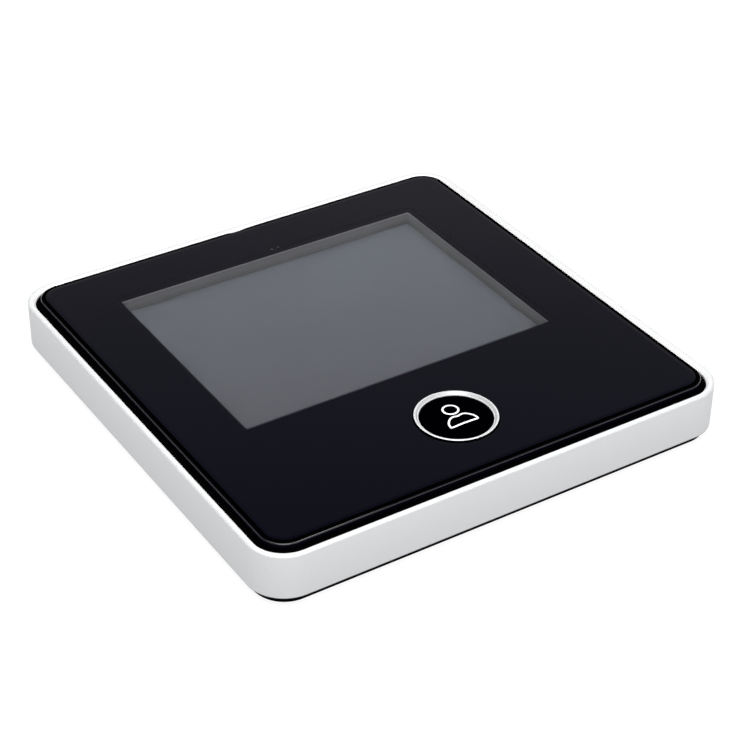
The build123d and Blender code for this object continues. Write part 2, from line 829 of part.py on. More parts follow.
# Camera socket: plastic housing with a row of pins, for the lead from the door's camera
camera_socket_z = board_back_z - camera_socket_height / 2
with BuildPart() as camera_socket:
    with BuildSketch(Plane.XZ.offset(-socket_mouth_y)):
        with Locations((0, camera_socket_z)):
            Rectangle(camera_socket_width, camera_socket_height)
    extrude(amount=camera_socket_depth)
    with BuildSketch(Plane.XZ.offset(-socket_mouth_y)):
        with Locations((0, camera_socket_z)):
            Rectangle(
                camera_socket_width - 2 * camera_socket_wall,
                camera_socket_height - 2 * camera_socket_wall,
            )
    extrude(amount=camera_socket_depth - camera_socket_wall, mode=Mode.SUBTRACT)
camera_socket.part.label = "camera_socket"
export_step(camera_socket.part, "parts/camera_socket.step")

with BuildPart() as camera_socket_pins:
    pin_root_y = socket_mouth_y - camera_socket_depth + camera_socket_wall
    with BuildSketch(Plane.XZ.offset(-pin_root_y)):
        with Locations((0, camera_socket_z)):
            with GridLocations(camera_pin_pitch, camera_pin_pitch, camera_pin_count, 1):
                Rectangle(camera_pin_width, camera_pin_width)
    extrude(amount=-camera_socket_depth / 2)
camera_socket_pins.part.label = "camera_socket_pins"
export_step(camera_socket_pins.part, "parts/camera_socket_pins.step")

# Power switch: the slider's foot is captive in the body and its knob reaches into the bay
power_switch_z = board_back_z - power_switch_height / 2
slider_slot_high_y = socket_mouth_y - power_switch_wall
with BuildPart() as power_switch_body:
    with BuildSketch(Plane.XZ.offset(-socket_mouth_y)):
        with Locations((power_switch_x, power_switch_z)):
            Rectangle(power_switch_width, power_switch_height)
    extrude(amount=power_switch_depth)
    with BuildSketch(Plane.XZ.offset(-slider_slot_high_y)):
        with Locations((power_switch_x, power_switch_z)):
            Rectangle(
                slider_foot_width + slider_travel + 2 * slider_clearance,
                slider_height + 2 * slider_clearance,
            )
    extrude(amount=slider_foot_depth + 2 * slider_clearance, mode=Mode.SUBTRACT)
    with BuildSketch(Plane.XZ.offset(-socket_mouth_y)):
        with Locations((power_switch_x, power_switch_z)):
            Rectangle(
                slider_width + slider_travel + 2 * slider_clearance,
                slider_height + 2 * slider_clearance,
            )
    extrude(amount=power_switch_wall, mode=Mode.SUBTRACT)
power_switch_body.part.label = "power_switch_body"
export_step(power_switch_body.part, "parts/power_switch_body.step")

with BuildPart() as power_switch_slider:
    slider_x = power_switch_x - slider_travel / 2
    slider_foot_y = slider_slot_high_y - slider_clearance
    with BuildSketch(Plane.XZ.offset(-slider_foot_y)):
        with Locations((slider_x, power_switch_z)):
            Rectangle(slider_foot_width, slider_height)
    extrude(amount=slider_foot_depth)
    with BuildSketch(Plane.XZ.offset(-slider_foot_y)):
        with Locations((slider_x, power_switch_z)):
            Rectangle(slider_width, slider_height)
    extrude(amount=-(slider_clearance + power_switch_wall + slider_reach))
    knob_face = power_switch_slider.faces().sort_by(Axis.Y)[-1]
    chamfer(knob_face.edges().filter_by(Axis.Z), slider_width / 6)
power_switch_slider.part.label = "power_switch_slider"
export_step(power_switch_slider.part, "parts/power_switch_slider.step")

# Rear cover: moulded tray with the cable bay, screw towers, bracket slots and grille
with BuildPart() as rear_cover:
    with BuildSketch():
        unit_outline(base_inset)
    extrude(amount=frame_back_z - body_clearance)
    with BuildSketch():
        unit_outline(body_inset)
    extrude(amount=clamp_rib_z)
    with BuildSketch(Plane.XY.offset(plate_thickness)):
        unit_outline(inner_inset)
    extrude(amount=clamp_rib_z - plate_thickness, mode=Mode.SUBTRACT)
    fillet(rear_cover.faces().sort_by(Axis.Z)[0].outer_wire().edges(), base_rounding)

    # walls that stand on the plate inside: bay, towers, bracket pockets and fences
    with BuildSketch():
        with Locations((0, bay_centre_y)):
            RectangleRounded(
                bay_width + 2 * bay_wall, bay_height + 2 * bay_wall, bay_corner_radius + bay_wall
            )
    extrude(amount=bay_depth + bay_floor)
    tower_radius = screw_head_radius + screw_recess_clearance + tower_wall
    with BuildSketch():
        with Locations(boss_points):
            Circle(tower_radius)
    extrude(amount=boss_back_z)
    hook_room_length = hook_slot_length + 2 * hook_pocket_room
    hook_room_width = hook_slot_width + 2 * hook_pocket_room
    with BuildSketch(Plane.XY.offset(plate_thickness)):
        with GridLocations(hook_spacing_x, hook_spacing_y, 2, 2):
            Rectangle(hook_room_length + 2 * rib_thickness, hook_room_width + 2 * rib_thickness)
    extrude(amount=hook_pocket_height)
    with BuildSketch(Plane.XY.offset(plate_thickness)):
        with Locations((0, battery_centre_y)):
            Rectangle(
                battery_width + 2 * (seat_clearance + rib_thickness),
                battery_height + 2 * (seat_clearance + rib_thickness),
            )
            Rectangle(
                battery_width + 2 * seat_clearance,
                battery_height + 2 * seat_clearance,
                mode=Mode.SUBTRACT,
            )
            Rectangle(
                battery_width - 2 * battery_rib_length,
                battery_height + 4 * (seat_clearance + rib_thickness),
                mode=Mode.SUBTRACT,
            )
            Rectangle(
                battery_width + 4 * (seat_clearance + rib_thickness),
                battery_height - 2 * battery_rib_length,
                mode=Mode.SUBTRACT,
            )
    extrude(amount=battery_rib_height)
    with BuildSketch(Plane.XY.offset(plate_thickness)):
        speaker_outline(seat_clearance + rib_thickness)
        speaker_outline(seat_clearance, mode=Mode.SUBTRACT)
        with Locations((speaker_centre_x, bay_centre_y - speaker_height / 2)):
            Rectangle(speaker_width / 2, speaker_height / 4, mode=Mode.SUBTRACT)
    extrude(amount=speaker_fence_height)

    # bay, open to the back, with a chamfered mouth
    with BuildSketch():
        with Locations((0, bay_centre_y)):
            RectangleRounded(bay_width, bay_height, bay_corner_radius)
    extrude(amount=bay_depth, mode=Mode.SUBTRACT)
    bay_mouth = rear_cover.faces().sort_by(Axis.Z)[0].inner_wires()
    chamfer([edge for wire in bay_mouth for edge in wire.edges()], bay_mouth_chamfer)

    # windows in the bay's lower wall for the two sockets and the switch
    with BuildSketch(Plane.XZ.offset(-bay_low_y)):
        with Locations((usb_x, board_back_z - usb_height / 2)):
            Rectangle(usb_width + 2 * seat_clearance, usb_height + 2 * seat_clearance)
        with Locations((0, camera_socket_z)):
            Rectangle(
                camera_socket_width + 2 * seat_clearance,
                camera_socket_height + 2 * seat_clearance,
            )
        with Locations((power_switch_x, power_switch_z)):
            Rectangle(
                power_switch_width + 2 * seat_clearance,
                power_switch_height + 2 * seat_clearance,
            )
    extrude(amount=bay_wall, mode=Mode.SUBTRACT)

    # screw recesses and holes
    with BuildSketch():
        with Locations(boss_points):
            Circle(screw_head_radius + screw_recess_clearance)
    extrude(amount=screw_head_height + screw_recess_clearance, mode=Mode.SUBTRACT)
    with BuildSketch():
        with Locations(boss_points):
            Circle(screw_shank_radius + seat_clearance)
    extrude(amount=boss_back_z, mode=Mode.SUBTRACT)

    # bracket slots, the room behind them and the speaker grille
    with BuildSketch():
        with GridLocations(hook_spacing_x, hook_spacing_y, 2, 2):
            SlotOverall(hook_slot_length, hook_slot_width)
        with Locations((speaker_centre_x, bay_centre_y)):
            with GridLocations(grille_pitch, grille_pitch, grille_columns, grille_rows):
                Circle(grille_hole_radius)
    extrude(amount=plate_thickness, mode=Mode.SUBTRACT)
    with BuildSketch(Plane.XY.offset(plate_thickness)):
        with GridLocations(hook_spacing_x, hook_spacing_y, 2, 2):
            Rectangle(hook_room_length, hook_room_width)
    extrude(amount=hook_pocket_height - hook_pocket_lid, mode=Mode.SUBTRACT)
rear_cover.part.label = "rear_cover"
export_step(rear_cover.part, "parts/rear_cover.step")

# Case screws: four pan heads in the cover's recesses, threaded into the housing's bosses
with BuildPart() as case_screws:
    head_back_z = screw_recess_clearance
    with BuildSketch(Plane.XY.offset(head_back_z)):
        with Locations(boss_points):
            Circle(screw_head_radius)
    extrude(amount=screw_head_height)
    chamfer(case_screws.edges().group_by(Axis.Z)[0], screw_head_height / 4)
    with BuildSketch(Plane.XY.offset(head_back_z + screw_head_height)):
        with Locations(boss_points):
            Circle(screw_shank_radius)
    extrude(amount=screw_length)
    with BuildSketch(Plane.XY.offset(head_back_z)):
        with Locations(boss_points):
            Rectangle(2 * screw_shank_radius, screw_slot_width)
            Rectangle(screw_slot_width, 2 * screw_shank_radius)
    extrude(amount=screw_slot_depth, mode=Mode.SUBTRACT)
case_screws.part.label = "case_screws"
export_step(case_screws.part, "parts/case_screws.step")

# Battery: flat pouch cell on a strip of tape
with BuildPart() as battery_tape:
    with BuildSketch(Plane.XY.offset(plate_thickness)):
        with Locations((0, battery_centre_y)):
            Rectangle(
                battery_width - 2 * battery_tape_margin, battery_height - 2 * battery_tape_margin
            )
    extrude(amount=battery_tape_thickness)
battery_tape.part.label = "battery_tape"
export_step(battery_tape.part, "parts/battery_tape.step")

with BuildPart() as battery_cell:
    with BuildSketch(Plane.XY.offset(battery_z)):
        with Locations((0, battery_centre_y)):
            Rectangle(battery_width, battery_height)
    extrude(amount=battery_thickness)
    fillet(battery_cell.edges().filter_by(Axis.X), battery_edge_radius)
battery_cell.part.label = "battery_cell"
export_step(battery_cell.part, "parts/battery_cell.step")

# Battery plug in its socket under the board, and the two leads that join it to the cell
battery_socket_width = battery_plug_width + 2 * camera_socket_wall
battery_socket_z = board_back_z - battery_socket_height / 2
battery_plug_height = battery_socket_height - 2 * camera_socket_wall
with BuildPart() as battery_socket:
    with BuildSketch(Plane.XZ.offset(-board_high_y)):
        with Locations((battery_lead_x, battery_socket_z)):
            Rectangle(battery_socket_width, battery_socket_height)
    extrude(amount=battery_socket_depth)
    with BuildSketch(Plane.XZ.offset(-board_high_y)):
        with Locations((battery_lead_x, battery_socket_z)):
            Rectangle(battery_plug_width, battery_plug_height)
    extrude(amount=battery_socket_depth - camera_socket_wall, mode=Mode.SUBTRACT)
battery_socket.part.label = "battery_socket"
export_step(battery_socket.part, "parts/battery_socket.step")

with BuildPart() as battery_plug:
    plug_high_y = board_high_y + board_gap / 2
    with BuildSketch(Plane.XZ.offset(-plug_high_y)):
        with Locations((battery_lead_x, battery_socket_z)):
            Rectangle(
                battery_plug_width - 2 * body_clearance, battery_plug_height - 2 * body_clearance
            )
    extrude(amount=battery_plug_depth)
battery_plug.part.label = "battery_plug"
export_step(battery_plug.part, "parts/battery_plug.step")

with BuildPart() as battery_leads:
    for lead_index in range(2):
        lead_y = battery_low_y + battery_lead_y + lead_index * lead_pitch
        lead_x = battery_lead_x + (lead_index - 1 / 2) * lead_pitch
        with BuildLine() as lead_route:
            FilletPolyline(
                (battery_width / 2, lead_y, battery_socket_z),
                (lead_x, lead_y, battery_socket_z),
                (lead_x, plug_high_y, battery_socket_z),
                radius=lead_bend_radius / 2,
            )
        with BuildSketch(Plane(lead_route.line @ 0, z_dir=lead_route.line % 0)):
            Circle(lead_radius)
        sweep()
battery_leads.part.label = "battery_leads"
export_step(battery_leads.part, "parts/battery_leads.step")

# Speaker: gasket, frame, cone and magnet, facing the grille
speaker_frame_z = plate_thickness + speaker_gasket_thickness
speaker_floor_z = speaker_frame_z + speaker_frame_height - speaker_floor
with BuildPart() as speaker_gasket:
    with BuildSketch(Plane.XY.offset(plate_thickness)):
        speaker_outline(0)
        speaker_outline(-speaker_rim, mode=Mode.SUBTRACT)
    extrude(amount=speaker_gasket_thickness)
speaker_gasket.part.label = "speaker_gasket"
export_step(speaker_gasket.part, "parts/speaker_gasket.step")

with BuildPart() as speaker_frame:
    with BuildSketch(Plane.XY.offset(speaker_frame_z)):
        speaker_outline(0)
    extrude(amount=speaker_frame_height)
    with BuildSketch(Plane.XY.offset(speaker_frame_z)):
        speaker_outline(-speaker_rim)
    extrude(amount=speaker_frame_height - speaker_floor, mode=Mode.SUBTRACT)
speaker_frame.part.label = "speaker_frame"
export_step(speaker_frame.part, "parts/speaker_frame.step")

with BuildPart() as speaker_cone:
    with BuildSketch(Plane.XY.offset(speaker_floor_z)):
        speaker_outline(-speaker_rim - seat_clearance)
    extrude(amount=-speaker_cone_sheet)
    with BuildSketch(Plane.XY.offset(speaker_floor_z - speaker_cone_sheet)):
        speaker_outline(-speaker_width / 4)
    extrude(amount=-speaker_cone_rise, taper=speaker_cone_taper)
speaker_cone.part.label = "speaker_cone"
export_step(speaker_cone.part, "parts/speaker_cone.step")

with BuildPart() as speaker_magnet:
    with BuildSketch(Plane.XY.offset(speaker_frame_z + speaker_frame_height)):
        with Locations((speaker_centre_x, bay_centre_y)):
            Circle(speaker_magnet_radius)
    extrude(amount=speaker_magnet_height)
speaker_magnet.part.label = "speaker_magnet"
export_step(speaker_magnet.part, "parts/speaker_magnet.step")

with BuildPart() as speaker_leads:
    speaker_low_y = bay_centre_y - speaker_height / 2
    lead_run = speaker_low_y - board_high_y + board_gap + lead_pitch
    lead_low_z = speaker_frame_z + speaker_frame_height / 2
    lead_high_z = board_back_z - lead_radius - body_clearance / 2
    for lead_index in range(2):
        lead_x = speaker_centre_x + (lead_index - 1 / 2) * lead_pitch
        with BuildLine() as lead_route:
            FilletPolyline(
                (lead_x, speaker_low_y, lead_low_z),
                (lead_x, speaker_low_y - lead_run / 3, lead_low_z),
                (lead_x, speaker_low_y - 2 * lead_run / 3, lead_high_z),
                (lead_x, speaker_low_y - lead_run, lead_high_z),
                radius=lead_bend_radius,
            )
        with BuildSketch(Plane(lead_route.line @ 0, z_dir=lead_route.line % 0)):
            Circle(lead_radius)
        sweep()
speaker_leads.part.label = "speaker_leads"
export_step(speaker_leads.part, "parts/speaker_leads.step")

# Microphone: capsule in a rubber boot whose channel leads to the hole in the face
boot_back_z = deck_back_z - boot_height
cavity_top_z = deck_back_z - boot_channel_depth - seat_clearance
with BuildPart() as microphone_boot:
    with BuildSketch(Plane.XY.offset(boot_back_z)):
        with Locations((mic_hole_x, boot_centre_y)):
            RectangleRounded(boot_width, boot_high_y - boot_low_y, boot_wall)
    extrude(amount=boot_height)
    with BuildSketch(Plane.XY.offset(deck_back_z - boot_channel_depth)):
        with Locations((mic_hole_x, (deck_hole_y + mic_y) / 2)):
            Rectangle(2 * mic_duct_radius, mic_offset_y)
    extrude(amount=boot_channel_depth, mode=Mode.SUBTRACT)
    with BuildSketch(Plane.XY.offset(boot_back_z)):
        with Locations((mic_hole_x, mic_y)):
            Circle(mic_radius + body_clearance / 2)
    extrude(amount=cavity_top_z - boot_back_z, mode=Mode.SUBTRACT)
    with BuildSketch(Plane.XY.offset(cavity_top_z)):
        with Locations((mic_hole_x, mic_y)):
            Circle(mic_duct_radius)
    extrude(amount=seat_clearance, mode=Mode.SUBTRACT)
microphone_boot.part.label = "microphone_boot"
export_step(microphone_boot.part, "parts/microphone_boot.step")

with BuildPart() as microphone:
    with BuildSketch(Plane.XY.offset(cavity_top_z)):
        with Locations((mic_hole_x, mic_y)):
            Circle(mic_radius)
    extrude(amount=-mic_height)
microphone.part.label = "microphone"
export_step(microphone.part, "parts/microphone.step")

mic_lead_x = board_width / 2 - board_gap
mic_lead_z = boot_back_z + mic_lead_radius + body_clearance
with BuildPart() as microphone_lead:
    with BuildLine() as lead_route:
        FilletPolyline(
            (mic_hole_x + boot_width / 2, mic_y, mic_lead_z),
            (mic_lead_x, mic_y, mic_lead_z),
            (mic_lead_x, board_high_y - mic_lead_offset, mic_lead_z),
            (mic_lead_x, board_high_y - mic_lead_offset, board_top_z + body_clearance / 2),
            radius=mic_lead_bend_radius,
        )
    with BuildSketch(Plane(lead_route.line @ 0, z_dir=lead_route.line % 0)):
        Circle(mic_lead_radius)
    sweep()
microphone_lead.part.label = "microphone_lead"
export_step(microphone_lead.part, "parts/microphone_lead.step")
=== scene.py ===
"""Looks of the indoor screen unit of a peephole door camera, lying on its back.

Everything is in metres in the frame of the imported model: +X right, +Y to the top edge, +Z out
of the face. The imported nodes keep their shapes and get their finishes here.
"""
import math

import bpy
import numpy as np
from mathutils import Matrix, Vector


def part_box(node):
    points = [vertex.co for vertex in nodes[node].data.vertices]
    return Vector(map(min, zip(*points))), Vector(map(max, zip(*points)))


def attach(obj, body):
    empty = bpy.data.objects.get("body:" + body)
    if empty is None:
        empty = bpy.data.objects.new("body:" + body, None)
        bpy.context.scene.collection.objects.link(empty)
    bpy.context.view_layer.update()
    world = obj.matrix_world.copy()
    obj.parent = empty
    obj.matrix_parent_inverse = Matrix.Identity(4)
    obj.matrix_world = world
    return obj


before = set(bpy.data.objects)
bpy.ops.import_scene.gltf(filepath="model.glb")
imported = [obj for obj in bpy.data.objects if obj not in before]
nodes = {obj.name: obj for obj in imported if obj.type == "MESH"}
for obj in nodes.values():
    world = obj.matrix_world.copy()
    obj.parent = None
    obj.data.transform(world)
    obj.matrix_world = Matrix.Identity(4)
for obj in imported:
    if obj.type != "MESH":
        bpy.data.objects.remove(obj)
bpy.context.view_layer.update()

MM = 0.001

# Places that the finishes follow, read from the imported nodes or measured: on the face from the
# unit's centre, insets from its outline, depths from the lens's face and radii from the axis of
# the button
lens_low, lens_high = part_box("front_lens")
frame_low, frame_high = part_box("silver_frame")
gasket_low, gasket_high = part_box("display_gasket")
speaker_wires_low, speaker_wires_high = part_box("speaker_leads")
cap_low, cap_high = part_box("view_button")
button_y = (cap_low.y + cap_high.y) / 2
corner_radius = 8.0 * MM
shadowed_edge_height = 0.22 * MM
rim_rounding = 0.46 * MM
rim_flat_inset = 1.08 * MM
base_edge = 2.2 * MM
window_size = (73.3 * MM, 54.1 * MM)
window_y = 11.3 * MM
clear_margin = 1.2 * MM
mic_holes = (2.1 * MM, 39.65 * MM)
mic_holes_size = (2.5 * MM, 0.9 * MM)
bevel_depths = (0.031 * MM, 0.154 * MM)
glint_insets = (2.79 * MM, 2.98 * MM)
foot_depth = 0.4 * MM
cone_radii = (7.7 * MM, 8.05 * MM)
ring_wall_radius = 8.42 * MM
battery_wires_x = 33.2 * MM
speaker_wires_x = (speaker_wires_low.x + speaker_wires_high.x) / 2

# Colour sockets of a Mix node, and the values between which nearly all of a noise lies
MIX_FROM, MIX_TO = 6, 7
GRAIN_SPREAD = {"From Min": 0.25, "From Max": 0.75}


def linear(hex_colour):
    """sRGB hex value as linear red, green, blue and an alpha of 1."""
    parts = [int(hex_colour[i : i + 2], 16) / 255 for i in (1, 3, 5)]
    return [c / 12.92 if c <= 0.04045 else ((c + 0.055) / 1.055) ** 2.4 for c in parts] + [1.0]


def put(tree, kind, sockets=None, stops=(), **settings):
    """Adds a node with its settings, and a colour ramp's stops. A socket is given a value, a hex
    colour or a link, and a node stands for the first of its outputs that is in use."""
    made = tree.nodes.new(kind)
    for name, value in settings.items():
        setattr(made, name, value)
    for index, (stop, colour) in enumerate(stops):
        elements = made.color_ramp.elements
        element = elements[index] if index < len(elements) else elements.new(stop)
        element.position = stop
        element.color = colour
    for name, value in (sockets or {}).items():
        if isinstance(value, str):
            value = linear(value)
        if isinstance(value, bpy.types.Node):
            value = next(output for output in value.outputs if output.enabled)
        if isinstance(value, bpy.types.NodeSocket):
            tree.links.new(value, made.inputs[name])
        else:
            made.inputs[name].default_value = value
    return made


def new_finish(name):
    """Empty node material, its tree, and the object coordinates that its patterns read."""
    material = bpy.data.materials.new(name)
    material.use_nodes = True
    tree = material.node_tree
    tree.nodes.clear()
    return material, tree, put(tree, "ShaderNodeTexCoord").outputs["Object"]


def surface(tree, sockets):
    """Closes a finish with its shader, whose sockets are given by name."""
    shader = put(tree, "ShaderNodeBsdfPrincipled", sockets)
    put(tree, "ShaderNodeOutputMaterial", {"Surface": shader})


def dress(material, *names):
    """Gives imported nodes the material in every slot."""
    for name in names:
        mesh = nodes[name].data
        if not mesh.materials:
            mesh.materials.append(material)
        for slot in nodes[name].material_slots:
            slot.material = material


def grain_look(
    tree, place, grain_mm, rough, tones=None, relief_mm=0.0, stretch=None, detail=3.0
):
    """Roughness, colour and relief of a finish, all from one grain: noise whose blobs are about
    grain_mm across, drawn out by stretch along an axis. A grain finer than about 0.1 mm in life
    is drawn coarser than it is, because the render would lose it."""
    if stretch:
        place = put(tree, "ShaderNodeMapping", {"Vector": place, "Scale": stretch})
    scale = 1 / (2 * grain_mm * MM)
    grain = put(tree, "ShaderNodeTexNoise", {"Vector": place, "Scale": scale, "Detail": detail})
    spread = {"Value": grain, **GRAIN_SPREAD}
    gloss = {**spread, "To Min": rough[0], "To Max": rough[1]}
    look = {"Roughness": put(tree, "ShaderNodeMapRange", gloss)}
    if tones:
        share = put(tree, "ShaderNodeMapRange", spread)
        ends = {"Factor": share, MIX_FROM: tones[0], MIX_TO: tones[1]}
        look["Base Color"] = put(tree, "ShaderNodeMix", ends, data_type="RGBA")
    if relief_mm:
        relief = {"Height": grain, "Strength": 1.0, "Distance": relief_mm * MM}
        look["Normal"] = put(tree, "ShaderNodeBump", relief)
    return look


def grained(name, tones, rough, grain_mm, relief_mm, more=None, **grain):
    """Material with one grain all over; more names other sockets of its shader."""
    material, tree, place = new_finish(name)
    look = grain_look(tree, place, grain_mm, rough, tones, relief_mm, **grain)
    surface(tree, {**look, **(more or {})})
    return material


def drifting(tree, value, start, end, *pairs):
    """Tones that each go from one hex colour to another while value goes from start to end."""
    share = put(tree, "ShaderNodeMapRange", {"Value": value, "From Min": start, "From Max": end})
    ends = [{"Factor": share, MIX_FROM: low, MIX_TO: high} for low, high in pairs]
    return [put(tree, "ShaderNodeMix", pair, data_type="RGBA") for pair in ends]


def mask(tree, *tests):
    """1 where every test holds and 0 elsewhere: a test is a value, LESS_THAN or GREATER_THAN,
    and a limit, and the results are multiplied."""
    product = None
    for value, operation, limit in tests:
        result = put(tree, "ShaderNodeMath", {0: value, 1: limit}, operation=operation)
        if product:
            result = put(tree, "ShaderNodeMath", {0: product, 1: result}, operation="MULTIPLY")
        product = result
    return product


def painted(tree, colour, *zones):
    """Colour with zones laid over it in turn, each a mask and its own colour."""
    for zone, tone in zones:
        ends = {"Factor": zone, MIX_FROM: colour, MIX_TO: tone}
        colour = put(tree, "ShaderNodeMix", ends, data_type="RGBA")
    return colour


def outside_rectangle(tree, place, centre, size):
    """Distance outside an upright rectangle of the face, negative inside it: the larger of the
    distances past its sides, each the way from the centre less half the size."""
    parts = put(tree, "ShaderNodeSeparateXYZ", {0: place})
    past = []
    for coordinate, middle, side in zip(parts.outputs, centre, size):
        way = put(tree, "ShaderNodeMath", {0: coordinate, 1: middle}, operation="SUBTRACT")
        way = put(tree, "ShaderNodeMath", {0: way}, operation="ABSOLUTE")
        past.append(put(tree, "ShaderNodeMath", {0: way, 1: side / 2}, operation="SUBTRACT"))
    return put(tree, "ShaderNodeMath", {0: past[0], 1: past[1]}, operation="MAXIMUM")


def inset_from_outline(tree, place):
    """Distance inside the unit's rounded square outline, near its edge: the corner's radius
    less the distance from the square that the corners' centres span."""
    reach = (frame_high.x - corner_radius, frame_high.y - corner_radius, 1.0)
    past = put(tree, "ShaderNodeVectorMath", {0: place}, operation="ABSOLUTE")
    past = put(tree, "ShaderNodeVectorMath", {0: past, 1: reach}, operation="SUBTRACT")
    past = put(tree, "ShaderNodeVectorMath", {0: past, 1: (0, 0, 0)}, operation="MAXIMUM")
    past = put(tree, "ShaderNodeVectorMath", {0: past}, operation="LENGTH")
    return put(tree, "ShaderNodeMath", {0: corner_radius, 1: past}, operation="SUBTRACT")


# Blasted, clear-anodised aluminium with a fine even grain: satin, with painted shade darkening it
# towards the back, a painted shadow along its rounded back edge, and a painted highlight on its
# brighter rim and chamfer
aluminium, tree, place = new_finish("blasted_anodised_aluminium")
height = put(tree, "ShaderNodeSeparateXYZ", {0: place}).outputs["Z"]
# Painted shade: both tones darken from the face down towards the back
shaded_blast_tones = drifting(
    tree, height, frame_low.z, frame_high.z, ("#BBBCBE", "#C5C6C8"), ("#C3C4C6", "#CDCFD0")
)
look = grain_look(
    tree, place, grain_mm=0.12, rough=(0.45, 0.55), tones=shaded_blast_tones, relief_mm=0.0012
)
inset = inset_from_outline(tree, place)
look["Base Color"] = painted(
    tree,
    look["Base Color"],
    # Painted shadow: dark grey along the rounded back edge
    (mask(tree, (height, "LESS_THAN", frame_low.z + shadowed_edge_height)), "#58595A"),
    # Painted highlight: lighter inwards of the rim's rounding, nearly white over its flat and
    # chamfer
    (mask(tree, (inset, "GREATER_THAN", rim_rounding)), "#D6D7D8"),
    (mask(tree, (inset, "GREATER_THAN", rim_flat_inset)), "#FBFBFB"),
)
surface(tree, {**look, "Metallic": 0.3})
dress(aluminium, "silver_frame")

# Injection-moulded ABS with a spark-eroded grain: black and low in gloss, dull on its outer edge
moulded_black, tree, place = new_finish("spark_grained_black_abs")
look = grain_look(
    tree, place, grain_mm=0.22, rough=(0.5, 0.65), tones=("#040405", "#08080A"), relief_mm=0.006
)
moulded_specular = 0.25
body = mask(tree, (inset_from_outline(tree, place), "GREATER_THAN", base_edge))
look["Specular IOR Level"] = put(
    tree, "ShaderNodeMath", {0: body, 1: moulded_specular}, operation="MULTIPLY"
)
surface(tree, look)
dress(moulded_black, "rear_cover")

# The same plastic under the lens, with a coarser grain: black and quite dull
matt_black = grained(
    "matt_black_abs",
    ("#020202", "#040404"),
    rough=(0.7, 0.85),
    grain_mm=0.3,
    relief_mm=0.004,
    more={"Specular IOR Level": 0.0},
)
dress(matt_black, "front_housing")

# Clear cast acrylic, painted black from behind outside the screen window. Its face is glossy and
# its cut bevel matt black. A painted highlight runs along the foot of its edge: a thin lighter
# line with raised sheen, fainter towards the left. The microphone's holes have pale walls
acrylic, tree, place = new_finish("clear_acrylic_black_edge")
parts = put(tree, "ShaderNodeSeparateXYZ", {0: place})
depth = put(
    tree, "ShaderNodeMath", {0: lens_high.z, 1: parts.outputs["Z"]}, operation="SUBTRACT"
)
inset = inset_from_outline(tree, place)
clear_size = [side + 2 * clear_margin for side in window_size]
past_window = outside_rectangle(tree, place, (0.0, window_y), clear_size)
past_holes = outside_rectangle(tree, place, mic_holes, mic_holes_size)
below_face = (depth, "GREATER_THAN", bevel_depths[0])
below_bevel = (depth, "GREATER_THAN", bevel_depths[1])
clear = mask(tree, (past_window, "LESS_THAN", 0.0))
bevel = mask(tree, below_face, (depth, "LESS_THAN", bevel_depths[1]))
hole_walls = mask(tree, (past_holes, "LESS_THAN", 0.0), below_face)
# Painted highlight along the foot of the edge, in its colour and in its sheen
glint_line = mask(
    tree,
    (inset, "GREATER_THAN", glint_insets[0]),
    (inset, "LESS_THAN", glint_insets[1]),
    (depth, "LESS_THAN", foot_depth),
    below_bevel,
)
paint = painted(
    tree,
    "#05050E",
    (bevel, "#010101"),
    (glint_line, "#1E1E20"),
    (hole_walls, "#505054"),
    (clear, "#FFFFFF"),
)
acrylic_specular = 0.5
glint_specular_left = 0.45
# The painted highlight's sheen fades towards the left
glint_specular = put(
    tree,
    "ShaderNodeMapRange",
    {
        "Value": parts.outputs["X"],
        "From Min": lens_low.x,
        "From Max": lens_low.x + corner_radius,
        "To Min": glint_specular_left,
    },
)
face = mask(tree, (depth, "LESS_THAN", bevel_depths[0]))
face_specular = put(
    tree, "ShaderNodeMath", {0: face, 1: acrylic_specular}, operation="MULTIPLY"
)
specular = put(
    tree,
    "ShaderNodeMath",
    {0: glint_line, 1: glint_specular, 2: face_specular},
    operation="MULTIPLY_ADD",
)
surface(
    tree,
    {
        **grain_look(tree, place, grain_mm=6.0, rough=(0.015, 0.04), detail=4.0),
        "Base Color": paint,
        "Transmission Weight": clear,
        "Specular IOR Level": specular,
        "IOR": 1.49,
    },
)
dress(acrylic, "front_lens")

# Opaque screen-printed ink behind the lens: black with a trace of blue. It touches the lens, so
# no light reaches it, and a trace of emission stands for the light that it scatters back
printed_ink = grained(
    "black_screen_print",
    ("#0B0B19", "#0D0D1B"),
    rough=(0.5, 0.6),
    grain_mm=0.4,
    relief_mm=0.0005,
    more={"Specular IOR Level": 0.1, "Emission Color": "#0B0B15", "Emission Strength": 1.0},
)
dress(printed_ink, "lens_mask")

# Closed-cell foam tape: black, with open bubbles along the cut edge
black_foam = grained(
    "closed_cell_foam", ("#151516", "#252527"), rough=(0.8, 0.95), grain_mm=0.18, relief_mm=0.03
)
dress(black_foam, "lens_tape", "speaker_gasket")

# Soft grey foam that seals the screen to the housing, with painted shade darkening its foot and a
# painted highlight along its top cut edge
grey_foam, tree, place = new_finish("grey_sealing_foam")
height = put(tree, "ShaderNodeSeparateXYZ", {0: place}).outputs["Z"]
# Painted shade at the foot, lightening upwards, and a painted highlight on the top edge
foam_shade_tones = (
    (0.0, "#6C6C70"), (0.3, "#767679"), (0.5, "#7F7F83"), (0.84, "#808084"), (0.88, "#9A9A9F")
)
rise = {"Value": height, "From Min": gasket_low.z, "From Max": gasket_high.z}
shaded_layers = put(
    tree,
    "ShaderNodeValToRGB",
    {"Fac": put(tree, "ShaderNodeMapRange", rise)},
    stops=[(stop, linear(tone)) for stop, tone in foam_shade_tones],
)
look = grain_look(tree, place, grain_mm=0.2, rough=(0.8, 0.95), relief_mm=0.02)
surface(tree, {**look, "Base Color": shaded_layers})
dress(grey_foam, "display_gasket")
